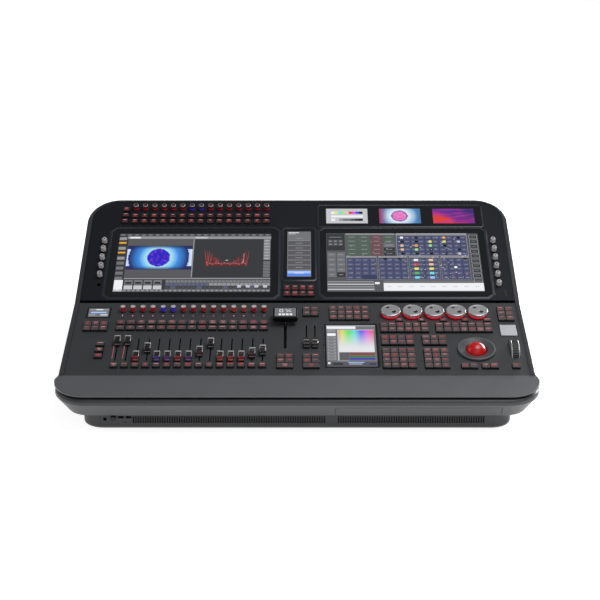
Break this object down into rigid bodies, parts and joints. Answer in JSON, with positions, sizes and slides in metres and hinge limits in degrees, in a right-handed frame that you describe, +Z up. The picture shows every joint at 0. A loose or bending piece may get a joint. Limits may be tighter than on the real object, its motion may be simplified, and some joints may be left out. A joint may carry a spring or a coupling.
{
  "type": "lighting control desk",
  "caption": "Wedge-shaped stage lighting control desk with touchscreens, motorised faders, backlit keys, encoder wheels, trackball and a keyboard drawer.",
  "frame": {"origin": "on the floor under the middle of the desk's footprint", "axes": "+Z up, +Y away from the operator, +X to the operator's right"},
  "size_m": [1.084, 0.7403, 0.3017],
  "materials": {
    "casing_paint": "fine satin powder coat",
    "rest_paint": "satin powder coat",
    "panel_paint": "matte powder coat",
    "black_plastic": "fine-textured moulding",
    "cap_plastic": "translucent lit cap",
    "key_plastic": "soft-touch backlit cap",
    "display_glass": "anti-reflective cover glass",
    "sheet_steel": "plain folded sheet",
    "circuit_board": "solder-masked board",
    "rubber_pad": "soft pad",
    "wheel_metal": "turned and anodised",
    "ball_plastic": "polished ball",
    "bright_steel": "zinc plated"
  },
  "bodies": {
    "console": {"lower_shell": "casing_paint", "base_plate": "sheet_steel", "plinth_front": "casing_paint", "plinth_corners": "black_plastic", "feet": "rubber_pad", "wrist_rest": "rest_paint", "rim_trim": "rest_paint", "control_panel": "panel_paint", "screen_panel": "panel_paint", "rear_panel": "sheet_steel", "panel_screws": "bright_steel", "left_touchscreen": "display_glass", "right_touchscreen": "display_glass", "centre_display": "display_glass", "monitor_strip": "display_glass", "palette_touchscreen": "display_glass", "small_displays": "display_glass", "fader_tracks": "sheet_steel", "encoder_bodies": "sheet_steel", "key_boards": "circuit_board", "main_board": "circuit_board", "power_supply": "sheet_steel", "cooling_fans": "black_plastic", "internal_frame": "sheet_steel", "sockets": "black_plastic", "trackball_housing": "black_plastic"},
    "fader_01": {"fader_01": "cap_plastic"},
    "fader_02": {"fader_02": "cap_plastic"},
    "fader_03": {"fader_03": "cap_plastic"},
    "fader_04": {"fader_04": "cap_plastic"},
    "fader_05": {"fader_05": "cap_plastic"},
    "fader_06": {"fader_06": "cap_plastic"},
    "fader_07": {"fader_07": "cap_plastic"},
    "fader_08": {"fader_08": "cap_plastic"},
    "fader_09": {"fader_09": "cap_plastic"},
    "fader_10": {"fader_10": "cap_plastic"},
    "fader_11": {"fader_11": "cap_plastic"},
    "fader_12": {"fader_12": "cap_plastic"},
    "fader_13": {"fader_13": "cap_plastic"},
    "fader_14": {"fader_14": "cap_plastic"},
    "fader_15": {"fader_15": "cap_plastic"},
    "master_fader_1": {"master_fader_1": "cap_plastic"},
    "master_fader_2": {"master_fader_2": "cap_plastic"},
    "live_master": {"live_master": "black_plastic"},
    "encoder_wheel_1": {"encoder_wheel_1": "wheel_metal"},
    "encoder_wheel_2": {"encoder_wheel_2": "wheel_metal"},
    "encoder_wheel_3": {"encoder_wheel_3": "wheel_metal"},
    "encoder_wheel_4": {"encoder_wheel_4": "wheel_metal"},
    "encoder_wheel_5": {"encoder_wheel_5": "wheel_metal"},
    "trackball": {"trackball": "ball_plastic"},
    "trackball_ring": {"trackball_ring": "black_plastic"},
    "level_wheel": {"level_wheel": "wheel_metal"},
    "keyboard_drawer": {"keyboard_drawer": "casing_paint", "keyboard": "black_plastic"},
    "power_switch": {"power_switch": "black_plastic"},
    "volume_knob": {"volume_knob": "black_plastic"},
    "control_keys": {"control_keys": "key_plastic"},
    "screen_keys": {"screen_keys": "key_plastic"},
    "column_knobs": {"column_knobs": "cap_plastic"},
    "screen_knobs": {"screen_knobs": "cap_plastic"}
  },
  "joints": [
    {"name": "fader_01_slide", "type": "slide", "parent": "console", "child": "fader_01", "axis": [0, 0.9816, 0.1908], "range_m": [-0.06075, 0.01425]},
    {"name": "fader_02_slide", "type": "slide", "parent": "console", "child": "fader_02", "axis": [0, 0.9816, 0.1908], "range_m": [-0.06075, 0.01425]},
    {"name": "fader_03_slide", "type": "slide", "parent": "console", "child": "fader_03", "axis": [0, 0.9816, 0.1908], "range_m": [0, 0.075]},
    {"name": "fader_04_slide", "type": "slide", "parent": "console", "child": "fader_04", "axis": [0, 0.9816, 0.1908], "range_m": [-0.03225, 0.04275]},
    {"name": "fader_05_slide", "type": "slide", "parent": "console", "child": "fader_05", "axis": [0, 0.9816, 0.1908], "range_m": [0, 0.075]},
    {"name": "fader_06_slide", "type": "slide", "parent": "console", "child": "fader_06", "axis": [0, 0.9816, 0.1908], "range_m": [0, 0.075]},
    {"name": "fader_07_slide", "type": "slide", "parent": "console", "child": "fader_07", "axis": [0, 0.9816, 0.1908], "range_m": [0, 0.075]},
    {"name": "fader_08_slide", "type": "slide", "parent": "console", "child": "fader_08", "axis": [0, 0.9816, 0.1908], "range_m": [0, 0.075]},
    {"name": "fader_09_slide", "type": "slide", "parent": "console", "child": "fader_09", "axis": [0, 0.9816, 0.1908], "range_m": [-0.01875, 0.05625]},
    {"name": "fader_10_slide", "type": "slide", "parent": "console", "child": "fader_10", "axis": [0, 0.9816, 0.1908], "range_m": [-0.051, 0.024]},
    {"name": "fader_11_slide", "type": "slide", "parent": "console", "child": "fader_11", "axis": [0, 0.9816, 0.1908], "range_m": [0, 0.075]},
    {"name": "fader_12_slide", "type": "slide", "parent": "console", "child": "fader_12", "axis": [0, 0.9816, 0.1908], "range_m": [0, 0.075]},
    {"name": "fader_13_slide", "type": "slide", "parent": "console", "child": "fader_13", "axis": [0, 0.9816, 0.1908], "range_m": [0, 0.075]},
    {"name": "fader_14_slide", "type": "slide", "parent": "console", "child": "fader_14", "axis": [0, 0.9816, 0.1908], "range_m": [-0.01275, 0.06225]},
    {"name": "fader_15_slide", "type": "slide", "parent": "console", "child": "fader_15", "axis": [0, 0.9816, 0.1908], "range_m": [-0.02325, 0.05175]},
    {"name": "master_fader_1_slide", "type": "slide", "parent": "console", "child": "master_fader_1", "axis": [0, 0.9816, 0.1908], "range_m": [0, 0.075]},
    {"name": "master_fader_2_slide", "type": "slide", "parent": "console", "child": "master_fader_2", "axis": [0, 0.9816, 0.1908], "range_m": [0, 0.075]},
    {"name": "live_master_slide", "type": "slide", "parent": "console", "child": "live_master", "axis": [0, 0.9816, 0.1908], "range_m": [-0.1, 0]},
    {"name": "encoder_wheel_1_spin", "type": "hinge", "parent": "console", "child": "encoder_wheel_1", "pos_m": [0.2216, -0.04204, 0.15737], "axis": [0, -0.1908, 0.9816], "continuous": true},
    {"name": "encoder_wheel_2_spin", "type": "hinge", "parent": "console", "child": "encoder_wheel_2", "pos_m": [0.27335, -0.04204, 0.15737], "axis": [0, -0.1908, 0.9816], "continuous": true},
    {"name": "encoder_wheel_3_spin", "type": "hinge", "parent": "console", "child": "encoder_wheel_3", "pos_m": [0.3251, -0.04204, 0.15737], "axis": [0, -0.1908, 0.9816], "continuous": true},
    {"name": "encoder_wheel_4_spin", "type": "hinge", "parent": "console", "child": "encoder_wheel_4", "pos_m": [0.37685, -0.04204, 0.15737], "axis": [0, -0.1908, 0.9816], "continuous": true},
    {"name": "encoder_wheel_5_spin", "type": "hinge", "parent": "console", "child": "encoder_wheel_5", "pos_m": [0.4286, -0.04204, 0.15737], "axis": [0, -0.1908, 0.9816], "continuous": true},
    {"name": "trackball_roll", "type": "hinge", "parent": "console", "child": "trackball", "pos_m": [0.4115, -0.18139, 0.11958], "axis": [1, 0, 0], "continuous": true},
    {"name": "trackball_ring_spin", "type": "hinge", "parent": "console", "child": "trackball_ring", "pos_m": [0.4115, -0.18301, 0.12793], "axis": [0, -0.1908, 0.9816], "continuous": true},
    {"name": "level_wheel_spin", "type": "hinge", "parent": "console", "child": "level_wheel", "pos_m": [0.499, -0.17469, 0.10611], "axis": [1, 0, 0], "continuous": true},
    {"name": "keyboard_drawer_slide", "type": "slide", "parent": "console", "child": "keyboard_drawer", "axis": [0, -1, 0], "range_m": [0, 0.165]},
    {"name": "power_switch_rock", "type": "hinge", "parent": "console", "child": "power_switch", "pos_m": [-0.295, 0.364, 0.15], "axis": [1, 0, 0], "range_deg": [0, 16]},
    {"name": "volume_knob_turn", "type": "hinge", "parent": "console", "child": "volume_knob", "pos_m": [-0.41, -0.33, 0.0277], "axis": [0, -1, 0], "range_deg": [0, 300]},
    {"name": "control_keys_press", "type": "slide", "parent": "console", "child": "control_keys", "axis": [0, 0.1908, -0.9816], "range_m": [0, 0.0025], "stiffness_N_per_m": 6000, "springref_m": -0.003},
    {"name": "screen_keys_press", "type": "slide", "parent": "console", "child": "screen_keys", "axis": [0, 0.354, -0.9353], "range_m": [0, 0.0025], "stiffness_N_per_m": 2500, "springref_m": -0.002},
    {"name": "column_knobs_press", "type": "slide", "parent": "console", "child": "column_knobs", "axis": [0, 0.1908, -0.9816], "range_m": [0, 0.0008], "stiffness_N_per_m": 4000, "springref_m": -0.002},
    {"name": "screen_knobs_press", "type": "slide", "parent": "console", "child": "screen_knobs", "axis": [0, 0.354, -0.9353], "range_m": [0, 0.0008], "stiffness_N_per_m": 4000, "springref_m": -0.002}
  ]
}
